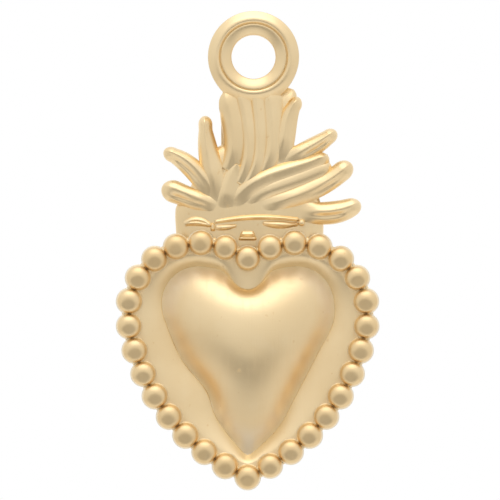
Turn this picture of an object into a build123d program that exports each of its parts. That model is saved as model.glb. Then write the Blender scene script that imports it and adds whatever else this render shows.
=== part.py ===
from build123d import *
from dataclasses import astuple, dataclass
from math import asin, atan2, cos, degrees, hypot, radians, sin, sqrt
import os

# A flaming-heart charm, made as bench work: a sawn plate that carries a dished frame, a hollow dome,
# a rim of beads, a crest of flames, a ribbon and a hanging loop. Millimetres and degrees.
# It is drawn face up, x to the right, y up the charm and z out of its face, with the back at z = 0
# and the centre of the loop's bore at x = y = 0, and is stood upright with its face to -Y at the end.

# Hanging loop
LOOP_RADIUS = 3.24
LOOP_BORE_RADIUS = 1.57
LOOP_GROOVE_RADIUS = 2.35
LOOP_THICKNESS = 2.1
LOOP_ROLL_DROP = 0.6
LOOP_INNER_ROLL_DROP = 0.5
LOOP_GROOVE_DEPTH = 0.25
LOOP_BACK_CHAMFER = 0.2

# Ground plate
PLATE_THICKNESS = 0.7
VENT_RADIUS = 0.4

# Heart rim: the line that the beads stand on
HEART_AXIS_X = -0.42
RIM_LOBE_OFFSET = 3.39
RIM_LOBE_RADIUS = 5.1
RIM_CLEFT_RADIUS = 0.71
RIM_TIP_DROP = 11.53
RIM_SHOULDER = 10.0
BEADS_PER_SIDE = 15
BEAD_GAP = 0.117
BEAD_SEAT_DEPTH = 0.45

# Dished frame
FRAME_HEIGHT = 1.1
FRAME_MARGIN = 0.45
FRAME_SHELF = 0.85
DISH_DEPTH = 0.5
DISH_LEDGE = 0.12
DISH_TURN_ALONG = 0.6
DISH_TURN_UP = 0.3

# Domed heart
DOME_SIDE_MARGIN = 2.36
DOME_TOP_MARGIN = 1.64
DOME_TIP_MARGIN = 1.39
DOME_LOBE_RADIUS = 2.64
DOME_CLEFT_ANGLE = 37.0
DOME_SHOULDER = 18.0
DOME_HEIGHT = 2.8
DOME_CROWN_DROP = 2.3
DOME_CROWN_POWER = 1.85
DOME_EDGE_POWER = 1.1
DOME_WALL = 0.5
BRIM_WIDTH = 0.35
BRIM_THICKNESS = 0.3
FIT_GAP = 0.05

# Neck, ribbon and tab: the neck runs from the mouth, where the flames leave it, to the top of the beads
NECK_LENGTH = 1.37
NECK_LEFT = 5.3
NECK_RIGHT = 4.9
NECK_TOP = 0.2
NECK_HEIGHT = 0.9
RIBBON_WALL = 0.1
RIBBON_RISE = 0.28
KNOB_RADIUS = 0.24
KNOB_SEAT_DEPTH = 0.1
TAB_TOP_WIDTH = 0.9
TAB_FOOT_WIDTH = 1.5
TAB_LENGTH = 0.8
TAB_RISE = 0.32
TAB_BEVEL = 0.14
TAB_GAP = 0.34

# Crest
CREST_HEIGHT = 7.8
COLUMN_LEFT = 2.3
COLUMN_RIGHT = 2.6
COLUMN_FOOT = 4.7
COLUMN_LAP = 0.5
GROUND_LEFT = ((-4.4, 1.6), (-3.5, 3.4))
GROUND_RIGHT = ((5.3, 4.1), (4.6, 1.3))
FLAME_WALL = 0.55
FLAME_RISE = 0.6
FLAME_OVERHANG = 0.15


@dataclass
class Heart:
    """A heart outline of tangent arcs: two lobes, a rounded cleft between them, and two long sides."""

    axis_x: float
    lobe_y: float
    lobe_offset: float
    lobe_radius: float
    cleft_radius: float
    tip_drop: float
    shoulder: float

    def side_arc(self):
        """Centre and radius of the side that leaves the lobe at the shoulder and runs to the tip."""
        out_x = cos(radians(self.shoulder))
        out_y = -sin(radians(self.shoulder))
        run_x = self.lobe_offset + self.lobe_radius * out_x
        run_y = self.tip_drop + self.lobe_radius * out_y
        radius = hypot(run_x, run_y) ** 2 / 2 / (run_x * out_x + run_y * out_y)
        inward = self.lobe_radius - radius
        return self.lobe_offset + inward * out_x, inward * out_y, radius

    def right_half(self):
        """The arcs from the cleft to the tip, as centre x and y, radius, start angle and sweep."""
        reach = self.lobe_radius + max(self.cleft_radius, 0)
        cleft_y = sqrt(reach**2 - self.lobe_offset**2)
        turn = degrees(atan2(cleft_y, self.lobe_offset))
        side_x, side_y, side_radius = self.side_arc()
        tip_angle = degrees(asin(-side_x / side_radius)) - 90
        arcs = [
            (self.lobe_offset, 0, self.lobe_radius, 180 - turn, turn - 180 - self.shoulder),
            (side_x, side_y, side_radius, -self.shoulder, tip_angle + self.shoulder),
        ]
        if self.cleft_radius > 0:
            arcs.insert(0, (0, cleft_y, self.cleft_radius, -90, 90 - turn))
        return arcs

    def half_length(self):
        return sum(radius * abs(radians(sweep)) for _, _, radius, _, sweep in self.right_half())

    def grown(self, distance):
        """The same heart moved outwards by a distance all round, or inwards by a negative one."""
        side_x, side_y, side_radius = self.side_arc()
        return Heart(
            self.axis_x,
            self.lobe_y,
            self.lobe_offset,
            self.lobe_radius + distance,
            self.cleft_radius - distance,
            sqrt((side_radius + distance) ** 2 - side_x**2) - side_y,
            self.shoulder,
        )

    def blended(self, other, share):
        """A heart part of the way from this one to another."""
        return Heart(*[a + (b - a) * share for a, b in zip(astuple(self), astuple(other))])

    def face(self, height):
        right = []
        for x, y, radius, start, sweep in self.right_half():
            right.append(CenterArc((self.axis_x + x, self.lobe_y + y), radius, start, sweep))
        axis = Plane(origin=(self.axis_x, 0, 0), z_dir=(1, 0, 0))
        left = [edge.mirror(axis) for edge in reversed(right)]
        return Pos(0, 0, height) * make_face(right + left)


@dataclass
class Tongue:
    """A flame or a fold of ribbon: a bent centre line, its headings, and three half widths along it."""

    root: tuple
    leaves: float
    tip: tuple
    arrives: float
    widths: tuple


MOUTH_Y = -LOOP_RADIUS - CREST_HEIGHT
FRAME_TOP = PLATE_THICKNESS + FRAME_HEIGHT
CREASE_Z = FRAME_TOP - DISH_DEPTH
NECK_TOP_Z = PLATE_THICKNESS + NECK_HEIGHT
RIM = Heart(
    axis_x=HEART_AXIS_X,
    lobe_y=0,
    lobe_offset=RIM_LOBE_OFFSET,
    lobe_radius=RIM_LOBE_RADIUS,
    cleft_radius=RIM_CLEFT_RADIUS,
    tip_drop=RIM_TIP_DROP,
    shoulder=RIM_SHOULDER,
)
# The rim's length sets the beads' size, and the beads set how far it hangs below the neck.
BEAD_PITCH = RIM.half_length() / BEADS_PER_SIDE
BEAD_RADIUS = (BEAD_PITCH - BEAD_GAP) / 2
RIM.lobe_y = MOUTH_Y - NECK_LENGTH - BEAD_RADIUS - RIM_LOBE_RADIUS
DOME_LOBE_OFFSET = RIM_LOBE_OFFSET + RIM_LOBE_RADIUS - DOME_SIDE_MARGIN - DOME_LOBE_RADIUS
DOME_LOBE_Y = RIM.lobe_y + RIM_LOBE_RADIUS - DOME_TOP_MARGIN - DOME_LOBE_RADIUS
DOME = Heart(
    axis_x=HEART_AXIS_X,
    lobe_y=DOME_LOBE_Y,
    lobe_offset=DOME_LOBE_OFFSET,
    lobe_radius=DOME_LOBE_RADIUS,
    cleft_radius=DOME_LOBE_OFFSET / cos(radians(DOME_CLEFT_ANGLE)) - DOME_LOBE_RADIUS,
    tip_drop=DOME_LOBE_Y - RIM.lobe_y + RIM_TIP_DROP - DOME_TIP_MARGIN,
    shoulder=DOME_SHOULDER,
)


def on_neck(x, share):
    """A place on the neck, at a share of the way from the mouth to the beads."""
    return x, -share * NECK_LENGTH


# Flames, in the order in which they are fitted: each is trimmed to the ones before it.
# Places are measured from the middle of the mouth.
SIDE_FLAMES = {
    "flame_sweep": Tongue((-1.6, 0.14), 65, (5.35, 3.95), 28, (0.35, 0.52, 0.45)),
    "flame_right_high": Tongue((2.4, 3.7), 28, (5.88, 5.77), 40, (0.4, 0.58, 0.5)),
    "flame_right_middle": Tongue((0.6, 0.43), 12, (6.94, 3.49), 45, (0.3, 0.55, 0.7)),
    "flame_right_inner": Tongue((-0.7, 0.55), 35, (5.5, 3.4), 30, (0.25, 0.5, 0.55)),
    "flame_right_low": Tongue((3.5, 0.0), -8, (7.58, 0.7), 35, (0.35, 0.75, 0.65)),
    "flame_left_tall": Tongue((-2.45, 0.6), 98, (-3.42, 6.85), 88, (0.45, 0.64, 0.46)),
    "flame_left_low": Tongue((-2.85, 0.4), 163, (-6.52, 1.8), 158, (0.3, 0.62, 0.82)),
    "flame_left_middle": Tongue((-2.95, 1.1), 118, (-6.41, 4.3), 165, (0.3, 0.62, 0.5)),
    "flame_trunk": Tongue((-1.9, 0.2), 92, (-1.3, 3.0), 70, (0.55, 0.6, 0.45)),
}
# The middle flames end at the loop, so their tips are measured from its lower edge.
MIDDLE_FLAMES = {
    "flame_middle_3": Tongue((-0.53, 1.99), 50, (0.28, 0.32), 95, (0.3, 0.45, 0.48)),
    "flame_middle_2": Tongue((-1.03, 2.21), 55, (-0.96, 0.2), 110, (0.3, 0.52, 0.52)),
    "flame_middle_4": Tongue((0.89, 3.06), 55, (1.32, 0.32), 92, (0.35, 0.6, 0.62)),
    "flame_middle_1": Tongue((-1.82, 3.13), 60, (-2.2, 0.32), 115, (0.4, 0.68, 0.72)),
    "flame_middle_5": Tongue((1.96, 3.49), 65, (3.31, 0.21), 45, (0.35, 0.55, 0.5)),
}
# The ribbon round the neck, and the knob that ends it
RIBBONS = {
    "ribbon_bar": Tongue(on_neck(-2.7, 0.52), 12, on_neck(3.15, 0.39), -7, (0.12, 0.16, 0.14)),
    "ribbon_left_loop": Tongue(on_neck(-4.82, 0.62), 30, on_neck(-3.1, 0.7), -25, (0.14, 0.3, 0.2)),
    "ribbon_knot": Tongue(on_neck(-2.9, 0.99), 90, on_neck(-2.9, 0.58), 90, (0.14, 0.17, 0.15)),
    "ribbon_tail": Tongue(on_neck(-2.65, 0.83), 5, on_neck(-1.21, 0.7), 15, (0.16, 0.2, 0.12)),
    "ribbon_right_loop": Tongue(on_neck(0.68, 0.57), -8, on_neck(3.12, 0.62), 6, (0.12, 0.25, 0.14)),
}
KNOB_PLACE = on_neck(3.42, 0.555)

# Where the sections of a tongue stand, with their shares of its width and of its rise
TONGUE_BELLY = 0.5
TONGUE_END = 0.85
TONGUE_REACH = 0.36
TONGUE_STATIONS = (
    (0.0, 1.0, 0.5),
    (0.3, 1.0, 0.85),
    (0.6, 1.0, 1.0),
    (TONGUE_END, 1.0, 0.85),
    (0.95, 0.78, 0.6),
    (1.0, 0.3, 0.25),
)
DOME_LEVELS = (0.0, 0.3, 0.55, 0.76, 0.9, 0.97, 0.995)


def centre_line(tongue):
    """A cubic curve that leaves the root and arrives at the tip on the two headings."""
    root = Vector(*tongue.root)
    tip = Vector(*tongue.tip)
    reach = (tip - root).length * TONGUE_REACH
    away = Vector(cos(radians(tongue.leaves)), sin(radians(tongue.leaves))) * reach
    onto = Vector(cos(radians(tongue.arrives)), sin(radians(tongue.arrives))) * reach
    return Bezier(root, root + away, tip - onto, tip)


def half_width(tongue, along):
    """The parabola through the half widths at root, belly and end, level beyond the end."""
    along = min(along, TONGUE_END)
    belly = along * (along - TONGUE_END) / TONGUE_BELLY / (TONGUE_BELLY - TONGUE_END)
    end = along * (along - TONGUE_BELLY) / TONGUE_END / (TONGUE_END - TONGUE_BELLY)
    return (1 - belly - end) * tongue.widths[0] + belly * tongue.widths[1] + end * tongue.widths[2]


def tongue_solid(tongue, base_z, wall, rise):
    """Arched sections, square to the centre line, lofted from root to tip."""
    line = centre_line(tongue)
    sections = []
    for along, width_share, rise_share in TONGUE_STATIONS:
        width = half_width(tongue, along) * width_share
        ahead = line % along
        plane = Plane(line @ along + Vector(0, 0, base_z), x_dir=(-ahead.Y, ahead.X, 0), z_dir=ahead)
        outline = [
            Line((-width, 0), (width, 0)),
            Line((width, 0), (width, wall)),
            ThreePointArc((width, wall), (0, wall + rise * rise_share), (-width, wall)),
            Line((-width, wall), (-width, 0)),
        ]
        sections.append(plane * make_face(outline))
    return loft(sections)


def footprint(tongue):
    """The ground under a flame, kept inside its edges, with a rounded end."""
    line = centre_line(tongue)
    left = []
    right = []
    for along, width_share, _ in TONGUE_STATIONS[:-1]:
        width = half_width(tongue, along) * width_share - FLAME_OVERHANG
        ahead = line % along
        side = Vector(-ahead.Y, ahead.X) * width
        left.append(line @ along + side)
        right.append(line @ along - side)
    end = line @ 1 - (line % 1) * FLAME_OVERHANG
    outline = [
        Spline(*left),
        ThreePointArc(left[-1], end, right[-1]),
        Spline(*reversed(right)),
        Line(right[0], left[0]),
    ]
    return make_face(outline)


def placed(tongue, tip_datum=MOUTH_Y):
    """The tongue with its places measured from the loop's centre instead of the mouth."""
    root = (tongue.root[0], tongue.root[1] + MOUTH_Y)
    tip = (tongue.tip[0], tongue.tip[1] + tip_datum)
    return Tongue(root, tongue.leaves, tip, tongue.arrives, tongue.widths)


def all_flames():
    flames = {}
    for name, tongue in SIDE_FLAMES.items():
        flames[name] = placed(tongue)
    for name, tongue in MIDDLE_FLAMES.items():
        flames[name] = placed(tongue, -LOOP_RADIUS)
    return flames


def fitted(tongues, base_z, wall, rise, room):
    """Tongues filed to lie against the loop and against each other, in order."""
    pieces = {}
    for name, tongue in tongues.items():
        solid = tongue_solid(tongue, base_z, wall, rise)
        for neighbour in [room, *pieces.values()]:
            solid = solid - neighbour
        pieces[name] = solid.solids().sort_by(SortBy.VOLUME)[-1]
    return pieces


def hanging_loop():
    """A ring with an outer and an inner roll turned in its front, and a groove between them."""
    shoulder = LOOP_THICKNESS - LOOP_ROLL_DROP
    groove = LOOP_THICKNESS - LOOP_GROOVE_DEPTH
    lip = groove - LOOP_INNER_ROLL_DROP
    outer_middle = (LOOP_RADIUS + LOOP_GROOVE_RADIUS) / 2
    inner_middle = (LOOP_GROOVE_RADIUS + LOOP_BORE_RADIUS) / 2
    back_edge = LOOP_RADIUS - LOOP_BACK_CHAMFER
    profile = [
        Line((LOOP_BORE_RADIUS, 0), (back_edge, 0)),
        Line((back_edge, 0), (LOOP_RADIUS, LOOP_BACK_CHAMFER)),
        Line((LOOP_RADIUS, LOOP_BACK_CHAMFER), (LOOP_RADIUS, shoulder)),
        Bezier(
            (LOOP_RADIUS, shoulder),
            (LOOP_RADIUS, LOOP_THICKNESS),
            (outer_middle, LOOP_THICKNESS),
        ),
        Bezier(
            (outer_middle, LOOP_THICKNESS),
            (LOOP_GROOVE_RADIUS, LOOP_THICKNESS),
            (LOOP_GROOVE_RADIUS, groove),
        ),
        Bezier(
            (LOOP_GROOVE_RADIUS, groove),
            (inner_middle, groove),
            (LOOP_BORE_RADIUS, lip),
        ),
        Line((LOOP_BORE_RADIUS, lip), (LOOP_BORE_RADIUS, 0)),
    ]
    return revolve(Plane.XZ * make_face(profile), Axis.Z)


def dome_form(inset):
    """A straight foot, then slices that shrink to a soft crown while the lobes close up."""
    foot = DOME.grown(-inset)
    sections = []
    for level in DOME_LEVELS:
        share = (1 - level**DOME_EDGE_POWER) ** (1 / DOME_CROWN_POWER)
        offset = foot.lobe_offset * share**2
        slice_heart = Heart(
            axis_x=foot.axis_x,
            lobe_y=foot.lobe_y - DOME_CROWN_DROP * (1 - share),
            lobe_offset=offset,
            lobe_radius=(foot.lobe_offset + foot.lobe_radius) * share - offset,
            cleft_radius=foot.cleft_radius,
            tip_drop=foot.tip_drop * share,
            shoulder=foot.shoulder,
        )
        sections.append(slice_heart.face(CREASE_Z + (DOME_HEIGHT - inset) * level))
    return extrude(foot.face(PLATE_THICKNESS), CREASE_Z - PLATE_THICKNESS) + loft(sections)


def heart_dome():
    """The hollow raised heart, with the brim that the frame holds down."""
    brim = extrude(DOME.grown(BRIM_WIDTH).face(PLATE_THICKNESS), BRIM_THICKNESS)
    return dome_form(0) + brim - dome_form(DOME_WALL)


def rim_places():
    """Evenly spaced places on the rim, from the cleft down the right side to the tip and back up."""
    arcs = RIM.right_half()
    lengths = [radius * abs(radians(sweep)) for _, _, radius, _, sweep in arcs]
    places = []
    for step in range(2 * BEADS_PER_SIDE):
        travel = min(step, 2 * BEADS_PER_SIDE - step) * BEAD_PITCH
        side = 1 if step <= BEADS_PER_SIDE else -1
        number = 0
        while number < len(arcs) - 1 and travel > lengths[number]:
            travel -= lengths[number]
            number += 1
        x, y, radius, start, sweep = arcs[number]
        angle = radians(start + sweep * travel / lengths[number])
        places.append((RIM.axis_x + side * (x + radius * cos(angle)), RIM.lobe_y + y + radius * sin(angle)))
    return places


def filed_ball(radius, seat_depth):
    """A ball filed flat underneath, with its flat at z = 0."""
    seat = sqrt(radius**2 - seat_depth**2)
    profile = [
        Line((0, 0), (seat, 0)),
        ThreePointArc((seat, 0), (radius, seat_depth), (0, seat_depth + radius)),
        Line((0, seat_depth + radius), (0, 0)),
    ]
    return revolve(Plane.XZ * make_face(profile), Axis.Z)


def heart_frame():
    """The bead shelf and the dish inside it, open for the dome and rebated underneath for its brim."""
    frame = extrude(RIM.grown(FRAME_MARGIN).face(PLATE_THICKNESS), FRAME_HEIGHT)
    inner = DOME.grown(DISH_LEDGE)
    outer = RIM.grown(-FRAME_SHELF)
    turn = inner.blended(outer, DISH_TURN_ALONG).face(CREASE_Z + DISH_DEPTH * DISH_TURN_UP)
    dish = loft([inner.face(CREASE_Z), turn, outer.face(FRAME_TOP)])
    opening = extrude(DOME.grown(FIT_GAP).face(PLATE_THICKNESS), FRAME_HEIGHT)
    rebate = extrude(DOME.grown(BRIM_WIDTH + FIT_GAP).face(PLATE_THICKNESS), BRIM_THICKNESS)
    return frame - dish - opening - rebate


def back_plate(flames):
    """One sheet sawn to the heart, the neck and the flames, with a saddle for the loop."""
    column_top = COLUMN_LAP - LOOP_RADIUS
    crest = Polyline(
        (-NECK_LEFT, RIM.lobe_y),
        (-NECK_LEFT, MOUTH_Y + NECK_TOP),
        *[(x, MOUTH_Y + y) for x, y in GROUND_LEFT],
        (-COLUMN_LEFT, MOUTH_Y + COLUMN_FOOT),
        (-COLUMN_LEFT, column_top),
        (0, 0),
        (COLUMN_RIGHT, column_top),
        (COLUMN_RIGHT, MOUTH_Y + COLUMN_FOOT),
        *[(x, MOUTH_Y + y) for x, y in GROUND_RIGHT],
        (NECK_RIGHT, MOUTH_Y + NECK_TOP),
        (NECK_RIGHT, RIM.lobe_y),
        close=True,
    )
    ground = RIM.grown(FRAME_MARGIN).face(0) + make_face(crest)
    for tongue in flames.values():
        ground += footprint(tongue)
    vent = Pos(DOME.axis_x, DOME.lobe_y - DOME_CROWN_DROP) * Cylinder(VENT_RADIUS, 4 * PLATE_THICKNESS)
    saddle = Cylinder(LOOP_RADIUS, 4 * PLATE_THICKNESS)
    return extrude(ground, PLATE_THICKNESS) - saddle - vent


def crest_base(flames):
    """The neck block, filed to the frame below it and to the roots of the flames above it."""
    width = NECK_LEFT + NECK_RIGHT
    length = MOUTH_Y + NECK_TOP - RIM.lobe_y
    middle = Pos((NECK_RIGHT - NECK_LEFT) / 2, RIM.lobe_y + length / 2, PLATE_THICKNESS)
    block = extrude(middle * Rectangle(width, length), NECK_HEIGHT)
    block -= extrude(RIM.grown(FRAME_MARGIN + FIT_GAP).face(PLATE_THICKNESS), FRAME_HEIGHT)
    for flame in flames.values():
        block -= flame
    return block.solids().sort_by(SortBy.VOLUME)[-1]


def centre_tab():
    """A small bevelled bar, wider at its foot, over the bead in the cleft."""
    lean = degrees(atan2(2 * TAB_LENGTH, TAB_FOOT_WIDTH - TAB_TOP_WIDTH))
    cleft_x, cleft_y = rim_places()[0]
    middle = Pos(cleft_x, cleft_y + BEAD_RADIUS + TAB_GAP + TAB_LENGTH / 2, NECK_TOP_Z)
    tab = extrude(middle * Trapezoid(TAB_FOOT_WIDTH, TAB_LENGTH, lean), TAB_RISE)
    return chamfer(tab.faces().sort_by(Axis.Z)[-1].edges(), TAB_BEVEL)


def build():
    """Every piece of the charm by name, face up."""
    tongues = all_flames()
    ribbons = {name: placed(tongue) for name, tongue in RIBBONS.items()}
    knob_x, knob_y = KNOB_PLACE
    knob = Pos(knob_x, MOUTH_Y + knob_y, NECK_TOP_Z) * filed_ball(KNOB_RADIUS, KNOB_SEAT_DEPTH)
    loop_room = Cylinder(LOOP_RADIUS, 4 * LOOP_THICKNESS)
    flames = fitted(tongues, PLATE_THICKNESS, FLAME_WALL, FLAME_RISE, loop_room)
    pieces = {
        "back_plate": back_plate(tongues),
        "heart_frame": heart_frame(),
        "heart_dome": heart_dome(),
        "hanging_loop": hanging_loop(),
        "crest_base": crest_base(flames),
        "centre_tab": centre_tab(),
        "ribbon_knob": knob,
    }
    pieces.update(flames)
    pieces.update(fitted(ribbons, NECK_TOP_Z, RIBBON_WALL, RIBBON_RISE, knob))
    for number, (x, y) in enumerate(rim_places(), start=1):
        pieces[f"rim_bead_{number:02d}"] = Pos(x, y, FRAME_TOP) * filed_ball(BEAD_RADIUS, BEAD_SEAT_DEPTH)
    return pieces


upright = Rot(90, 0, 0) * Pos(0, 0, -LOOP_THICKNESS / 2)
os.makedirs("parts", exist_ok=True)
for node, solid in build().items():
    export_step(upright * solid, f"parts/{node}.step")
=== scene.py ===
from dataclasses import dataclass, replace
from math import cos, radians, sin

import bmesh
import bpy
import numpy as np
from bpy.props import FloatProperty, FloatVectorProperty, PointerProperty
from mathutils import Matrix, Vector


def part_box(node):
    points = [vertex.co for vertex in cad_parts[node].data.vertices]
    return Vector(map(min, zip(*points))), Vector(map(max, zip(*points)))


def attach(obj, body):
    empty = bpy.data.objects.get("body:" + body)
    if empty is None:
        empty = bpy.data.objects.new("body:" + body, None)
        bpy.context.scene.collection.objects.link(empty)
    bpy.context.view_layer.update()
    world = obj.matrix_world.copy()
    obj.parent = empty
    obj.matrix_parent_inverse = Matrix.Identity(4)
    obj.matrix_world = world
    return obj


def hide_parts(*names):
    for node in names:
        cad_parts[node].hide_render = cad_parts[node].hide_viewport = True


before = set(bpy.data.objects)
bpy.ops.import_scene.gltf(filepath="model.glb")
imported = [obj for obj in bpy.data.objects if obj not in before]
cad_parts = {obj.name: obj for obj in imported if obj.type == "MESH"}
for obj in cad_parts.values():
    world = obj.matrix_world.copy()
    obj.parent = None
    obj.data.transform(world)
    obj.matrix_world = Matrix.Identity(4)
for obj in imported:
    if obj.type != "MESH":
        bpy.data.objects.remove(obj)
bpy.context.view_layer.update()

bl_info = {
    "name": "Flaming heart charm",
    "version": (1, 0, 0),
    "blender": (4, 5, 0),
    "location": "View3D > Sidebar > Charm",
    "description": "Dresses the packed charm in soft cast forms and satin gold",
    "category": "Add Mesh",
}

# The row's frame is in metres: X to the right, Z up, and the charm's face looks to -Y.
# Shapes are worked out as x, up and out, where out is the height above the charm's flat back.
MM = 0.001
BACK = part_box("back_plate")[1].y
LOOP_LOW, LOOP_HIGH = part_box("hanging_loop")
FRAME_LOW, FRAME_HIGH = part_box("heart_frame")
DOME_LOW, DOME_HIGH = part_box("heart_dome")
NECK_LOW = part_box("crest_base")[0]
PLATE_TOP = BACK - FRAME_HIGH.y
FRAME_TOP = BACK - FRAME_LOW.y
NECK_TOP = BACK - NECK_LOW.y
HEART_AXIS = (FRAME_LOW.x + FRAME_HIGH.x) / 2
BEADS = sorted(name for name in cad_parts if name.startswith("rim_bead_"))

# Points this close are welded into one.
WELD = 0.0005 * MM
# How far pieces reach into the plate that they stand on
LAP = 0.05 * MM
# Radius of the rounded edges of the frame and the loop
EDGE = 0.2 * MM
# The angle below level at which a lobe passes into the long side
RIM_SHOULDER = radians(10)
DOME_SHOULDER = radians(18)
# The dish falls as this power of the way from the shelf to the crease.
DISH_POWER = 1.6

# The beads, in shares of their radius: height of the ball, spread of the foot, depth of the worn facet
# and how softly the facet passes into the ball
BEAD_SQUASH = 0.62
BEAD_FOOT = 0.16
BEAD_WEAR = 0.06
BEAD_BLEND = 0.03
# The facet's slope upwards, and how much its slopes upwards and across differ from bead to bead
BEAD_LEAN = 0.2
BEAD_LEAN_SPREAD = 0.06
# The latitude where the ball passes into the foot
BEAD_WAIST = radians(4)
# Range of the chance that makes beads smaller or larger, in shares of the bead spread
BEAD_CHANCE = (-1, 0.4)
BEAD_SEED = 30

# The flames: length of the curve's handles as a share of the chord, the place where the end's width is
# measured and the length of the rounded tip in half widths
HANDLE = 0.36
END_PLACE = 0.85
TIP_LENGTH = 1.15
# Widths of the ridge and of the grooves across a flame, and how far along it a groove fades in and out
RIDGE_WIDTH = 0.22
GROOVE_WIDTH = 0.2
GROOVE_FADE = 0.2
# Where a flame leaves the ground, in shares of the way to the ground's edge
LEAVES_GROUND = (0.82, 1.06)
# How far along a flame or a fold rises out of the ground, for one with a free tip and for one without
FREE_RISE = (0, 0.4)
BOUND_RISE = (-0.2, 0.3)
# The ground falls outwards by this share, and its edge is smoothed over these turns in degrees.
GROUND_FALL = 0.12
GROUND_TURNS = (-2.0, -1.0, 0.0, 1.0, 2.0)
# The power of the way that rounds the ground's edge
GROUND_EDGE = 10

# The front of the small tab from its top down to its foot, in shares of its height and of its thickness
TAB_PLACES = (0.0, 0.08, 0.32, 0.6, 0.7, 0.86, 1.0)
TAB_HEIGHTS = (0.0, 0.84, 1.0, 0.72, 0.82, 0.5, 0.0)
# The tab's width at its top and what it gains down to its foot, in shares of the foot's width, and how
# far it reaches into the neck
TAB_TOP = 0.58
TAB_GAIN = 0.42
TAB_ROOT = 0.3 * MM
# The power of the way across that rounds the tab's sides
TAB_EDGE = 8

# The loop's rolls are sin(pi * way ** skew) ** bluntness.
OUTER_SKEW = 1.7
INNER_SKEW = 0.5
BLUNTNESS = 0.6
# The loop's rounded back edges in shares of the edge's radius, and a row on its outer wall as a share of
# the wall's height
LOOP_EDGE = (1.0, 0.6, 0.3, 0.1, 0.0)
LOOP_WALL = 0.7
# Spread of the loop's foot round its lowest point
LOOP_FOOT = radians(36)

# The gold's clouds, rubbed patches, grain, scratches and pits, in features per metre
CLOUDS = 260.0
RUBS = 520.0
GRAINS = 5200.0
LONG_SCRATCHES = 900.0
CROSS_SCRATCHES = 1100.0
PITS = 2300.0
# Directions of the two sets of scratches, turned about Y, and how much they are drawn out
LONG_TURN = (0.0, radians(24), 0.0)
LONG_STRETCH = (9.0, 1.0, 0.35)
CROSS_TURN = (0.0, radians(-12), 0.0)
CROSS_STRETCH = (0.4, 1.0, 8.0)
# Levels of the noise between which clouds, rubbed patches, scratches and pits set in, and the share of the
# second set of scratches
CLOUD_LEVELS = (0.3, 0.7)
RUB_LEVELS = (0.5, 0.72)
LONG_LEVELS = (0.56, 0.68)
CROSS_LEVELS = (0.58, 0.7)
PIT_LEVELS = (0.72, 0.8)
CROSS_SHARE = 0.7
# How far clouds, rubbed patches and pits turn the colour
CLOUD_TINT = 0.35
RUB_TINT = 0.3
PIT_TINT = 0.35
# How much clouds, scratches, rubbed patches, pits and frost change the roughness
CLOUD_ROUGHNESS = 0.12
SCRATCH_ROUGHNESS = 0.05
RUB_ROUGHNESS = 0.03
PIT_ROUGHNESS = 0.15
FROST_ROUGHNESS = 0.1
# Relief of grain, scratches and pits in shares of the bump's depth
GRAIN_RELIEF = 0.5
SCRATCH_RELIEF = 0.5
PIT_RELIEF = 0.8
BUMP_STRENGTH = 0.16
BUMP_DEPTH = 0.02 * MM

# Floor, lamp and camera, in metres and watts
FLOOR_SIDES = 64
FLOOR_RADIUS = 0.11
FLOOR_HEIGHT = -0.2
FLOOR_ROUGHNESS = 0.9
LAMP_SIZE = 0.5
LAMP_ENERGY = 0.6
LAMP_PLACE = (0.0, -0.18, 0.42)
CAMERA_X = -0.25 * MM
CAMERA_Z = -13.74 * MM
# Shade of the surround from straight down at 0 to straight up at 1
SURROUND = (
    (0.0, (1.0, 0.99, 0.98)),
    (0.15, (0.96, 0.95, 0.94)),
    (0.3, (0.82, 0.81, 0.8)),
    (0.5, (0.82, 0.82, 0.81)),
    (0.64, (0.86, 0.86, 0.86)),
    (0.8, (0.93, 0.93, 0.93)),
    (0.92, (1.0, 1.0, 1.0)),
    (1.0, (0.86, 0.86, 0.86)),
)
# The dim patch in front of the charm and below it: its place, how wide it is drawn, its reach squared
# and its shade
DIM_ASIDE = 0.05
DIM_BELOW = 0.4
DIM_SQUEEZE = 0.28
DIM_REACH = 0.075
DIM_SHADE = (0.16, 0.155, 0.145)
# Where the surround turns white behind the charm
WHITE_FROM = 0.3
WHITE_FULL = 0.7
WHITE = (1.0, 1.0, 1.0)


def length(name, description, millimetres):
    """A property that holds a length."""
    default = millimetres * MM
    return FloatProperty(name=name, description=description, default=default, unit="LENGTH", precision=5)


def share(name, description, default):
    """A property that holds a share from 0 to 1."""
    kind = {"min": 0.0, "max": 1.0, "subtype": "FACTOR"}
    return FloatProperty(name=name, description=description, default=default, **kind)


def power(name, description, default):
    """A property that holds an exponent."""
    return FloatProperty(name=name, description=description, default=default, min=0.5, max=3.0)


def colour(name, description, default):
    """A property that holds a colour."""
    kind = {"min": 0.0, "max": 1.0, "subtype": "COLOR"}
    return FloatVectorProperty(name=name, description=description, default=default, **kind)


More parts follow.
